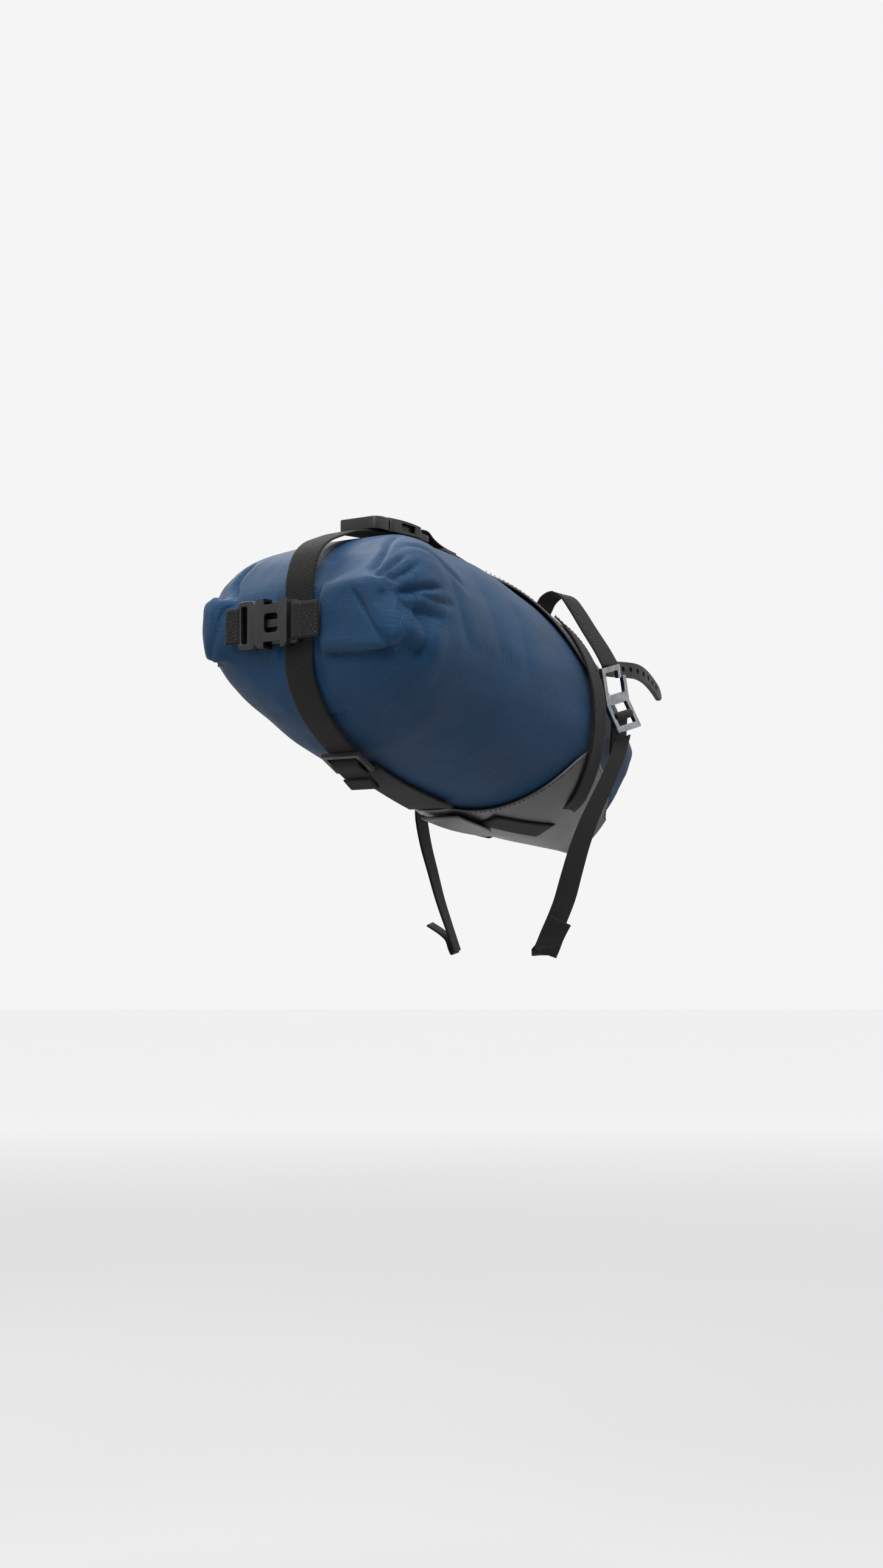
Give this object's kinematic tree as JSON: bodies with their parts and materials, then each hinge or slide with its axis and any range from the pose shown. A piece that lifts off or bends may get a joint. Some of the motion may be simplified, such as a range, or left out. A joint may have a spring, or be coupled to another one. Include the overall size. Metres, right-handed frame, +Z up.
{
  "type": "bicycle saddle pack",
  "caption": "Roll-top dry bag in a strap holster that hangs from the saddle rails and straps round the seatpost, with side-release buckles and steel strap hooks.",
  "frame": {"origin": "midway between the two saddle rails, where the rail straps carry the pack", "axes": "+X forward to the seatpost, +Y to the rider's left, +Z up"},
  "size_m": [0.3902, 0.204, 0.304],
  "materials": {
    "dry_bag_nylon": "coated ripstop nylon, satin",
    "webbing": "ribbed nylon webbing",
    "holster_sheet": "laminated rubber-coated fabric, satin",
    "buckle_plastic": "moulded acetal",
    "hook_steel": "polished stainless steel",
    "strap_rubber": "moulded elastomer",
    "board": "plain sheet"
  },
  "bodies": {
    "holster": {"dry_bag": "dry_bag_nylon", "base_board": "board", "base_panel": "dry_bag_nylon", "roll_top": "dry_bag_nylon", "roll_stiffener": "board", "closure_strap_near": "webbing", "closure_socket": "buckle_plastic", "cradle": "holster_sheet", "yoke": "holster_sheet", "tongue": "holster_sheet", "tongue_end": "holster_sheet", "rear_strap": "webbing", "top_socket": "buckle_plastic", "top_strap": "webbing", "rail_strap_right": "webbing", "flank_strap_right": "webbing", "bottom_strap_right": "webbing", "anchor_strap_right": "webbing", "rail_strap_left": "webbing", "flank_strap_left": "webbing", "bottom_strap_left": "webbing", "anchor_strap_left": "webbing", "post_strap_loop": "strap_rubber", "post_strap_stud": "hook_steel"},
    "top_clip": {"top_clip": "buckle_plastic"},
    "top_arm_right": {"top_arm_right": "buckle_plastic"},
    "top_arm_left": {"top_arm_left": "buckle_plastic"},
    "closure_clip": {"closure_clip": "buckle_plastic", "closure_strap_far": "webbing"},
    "closure_arm_upper": {"closure_arm_upper": "buckle_plastic"},
    "closure_arm_lower": {"closure_arm_lower": "buckle_plastic"},
    "hook_right": {"hook_right": "hook_steel"},
    "hook_left": {"hook_left": "hook_steel"},
    "tail_right": {"tail_right": "webbing", "tail_fold_right": "webbing"},
    "tail_left": {"tail_left": "webbing", "tail_fold_left": "webbing"},
    "tri_glide": {"tri_glide": "buckle_plastic", "rear_strap_fold": "webbing"},
    "post_strap": {"post_strap": "strap_rubber"}
  },
  "joints": [
    {"name": "top_clip_slide", "type": "slide", "parent": "holster", "child": "top_clip", "axis": [-1, 0, 0], "range_m": [0, 0.02]},
    {"name": "top_arm_right_flex", "type": "hinge", "parent": "top_clip", "child": "top_arm_right", "pos_m": [-0.181, -0.0109, 0.0357], "axis": [0, 0, 1], "range_deg": [0, 4], "stiffness_Nm_per_rad": 0.05},
    {"name": "top_arm_left_flex", "type": "hinge", "parent": "top_clip", "child": "top_arm_left", "pos_m": [-0.181, 0.0109, 0.0357], "axis": [0, 0, -1], "range_deg": [0, 4], "stiffness_Nm_per_rad": 0.05},
    {"name": "closure_clip_slide", "type": "slide", "parent": "holster", "child": "closure_clip", "axis": [0, 1, 0], "range_m": [0, 0.008]},
    {"name": "closure_arm_upper_flex", "type": "hinge", "parent": "closure_clip", "child": "closure_arm_upper", "pos_m": [-0.266, 0.03, -0.0291], "axis": [1, 0, 0], "range_deg": [0, 4], "stiffness_Nm_per_rad": 0.05},
    {"name": "closure_arm_lower_flex", "type": "hinge", "parent": "closure_clip", "child": "closure_arm_lower", "pos_m": [-0.266, 0.03, -0.0509], "axis": [-1, 0, 0], "range_deg": [0, 4], "stiffness_Nm_per_rad": 0.05},
    {"name": "hook_right_swing", "type": "hinge", "parent": "holster", "child": "hook_right", "pos_m": [0.01227, -0.08042, -0.08712], "axis": [0.9703, 0, 0.2419], "range_deg": [0, 30]},
    {"name": "hook_left_swing", "type": "hinge", "parent": "holster", "child": "hook_left", "pos_m": [0.01227, 0.08042, -0.08712], "axis": [0.9703, 0, 0.2419], "range_deg": [-30, 0]},
    {"name": "tail_right_swing", "type": "hinge", "parent": "holster", "child": "tail_right", "pos_m": [0.01227, -0.08042, -0.08712], "axis": [0.9703, 0, 0.2419], "range_deg": [-45, 4]},
    {"name": "tail_left_swing", "type": "hinge", "parent": "holster", "child": "tail_left", "pos_m": [0.01227, 0.08042, -0.08712], "axis": [0.9703, 0, 0.2419], "range_deg": [-4, 45]},
    {"name": "tri_glide_slide", "type": "slide", "parent": "holster", "child": "tri_glide", "axis": [0.866, 0, -0.5], "range_m": [-0.006, 0.006]},
    {"name": "post_strap_bend", "type": "hinge", "parent": "holster", "child": "post_strap", "pos_m": [0.007, -0.0676, -0.0515], "axis": [0, 0, 1], "range_deg": [-6, 8], "stiffness_Nm_per_rad": 0.05}
  ]
}
